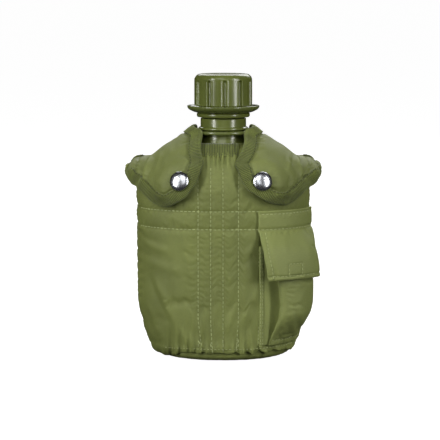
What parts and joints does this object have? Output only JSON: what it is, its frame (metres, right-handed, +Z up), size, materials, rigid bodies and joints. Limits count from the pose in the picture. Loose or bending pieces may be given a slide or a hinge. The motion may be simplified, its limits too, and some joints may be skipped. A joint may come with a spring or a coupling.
{
  "type": "water canteen",
  "caption": "Plastic water canteen with a screw cap on a keeper strap, in a padded fabric cover with snap flaps, a side pocket and belt clips",
  "frame": {"origin": "centre of the object's box, on the plane it stands on", "axes": "+Z up through the neck, -Y the front with the flaps and the pocket, +X to the viewer's right"},
  "size_m": [0.149, 0.1093, 0.2144],
  "materials": {
    "bottle_plastic": "satin moulded olive polyethylene",
    "keeper_plastic": "flexible olive polyethylene",
    "gasket_rubber": "soft pale sealing disc",
    "cover_nylon": "woven nylon with a slight sheen",
    "binding_tape": "ribbed woven tape",
    "pile_lining": "short synthetic pile",
    "hook_and_loop": "hook and loop tape",
    "snap_nickel": "bright nickel plate",
    "clip_steel": "black oxide steel"
  },
  "bodies": {
    "cover": {"bottle_shell": "bottle_plastic", "bottle_base": "bottle_plastic", "bottle_neck": "bottle_plastic", "keeper_neck_ring": "keeper_plastic", "keeper_strap": "keeper_plastic", "cover_front_panel": "cover_nylon", "cover_back_panel": "cover_nylon", "cover_bottom_panel": "cover_nylon", "lining_front": "pile_lining", "lining_back": "pile_lining", "lining_bottom": "pile_lining", "front_neck_tape": "binding_tape", "left_snap_stud": "snap_nickel", "right_snap_stud": "snap_nickel", "pocket_body": "cover_nylon", "pocket_flap_band": "cover_nylon", "pocket_loop_patch": "hook_and_loop", "left_clip_frame": "clip_steel", "right_clip_frame": "clip_steel", "left_clip_webbing": "binding_tape", "right_clip_webbing": "binding_tape"},
    "cap_keeper": {"keeper_cap_ring": "keeper_plastic"},
    "cap": {"screw_cap": "bottle_plastic", "cap_gasket": "gasket_rubber"},
    "left_flap": {"left_flap": "cover_nylon", "left_flap_binding": "binding_tape", "left_snap_cap": "snap_nickel", "left_snap_socket": "snap_nickel"},
    "right_flap": {"right_flap": "cover_nylon", "right_flap_binding": "binding_tape", "right_snap_cap": "snap_nickel", "right_snap_socket": "snap_nickel"},
    "pocket_flap": {"pocket_flap": "cover_nylon", "pocket_hook_patch": "hook_and_loop"},
    "left_clip_slide": {"left_clip_slide": "clip_steel"},
    "right_clip_slide": {"right_clip_slide": "clip_steel"}
  },
  "joints": [
    {"name": "cap_lift", "type": "slide", "parent": "cover", "child": "cap_keeper", "axis": [0, 0, 1], "range_m": [0, 0.0082], "deforming": ["keeper_strap"]},
    {"name": "cap_turn", "type": "hinge", "parent": "cap_keeper", "child": "cap", "pos_m": [0, -0.0004, 0.2], "axis": [0, 0, 1], "range_deg": [0, 720]},
    {"name": "left_flap_open", "type": "hinge", "parent": "cover", "child": "left_flap", "pos_m": [-0.03732, 0.02749, 0.15593], "axis": [-0.7891, 0.2355, -0.5673], "range_deg": [0, 110]},
    {"name": "right_flap_open", "type": "hinge", "parent": "cover", "child": "right_flap", "pos_m": [0.03732, 0.02749, 0.15593], "axis": [-0.7891, -0.2355, 0.5673], "range_deg": [0, 110]},
    {"name": "pocket_flap_open", "type": "hinge", "parent": "cover", "child": "pocket_flap", "pos_m": [0.05356, -0.03031, 0.1004], "axis": [-0.7706, -0.6374, 0], "range_deg": [0, 100]},
    {"name": "left_clip_unlock", "type": "slide", "parent": "cover", "child": "left_clip_slide", "axis": [0, 0, 1], "range_m": [0, 0.008]},
    {"name": "right_clip_unlock", "type": "slide", "parent": "cover", "child": "right_clip_slide", "axis": [0, 0, 1], "range_m": [0, 0.008]}
  ],
  "couplings": [
    {"joint": "cap_lift", "follows": "cap_turn", "m_per_rad": 0.00063662}
  ]
}
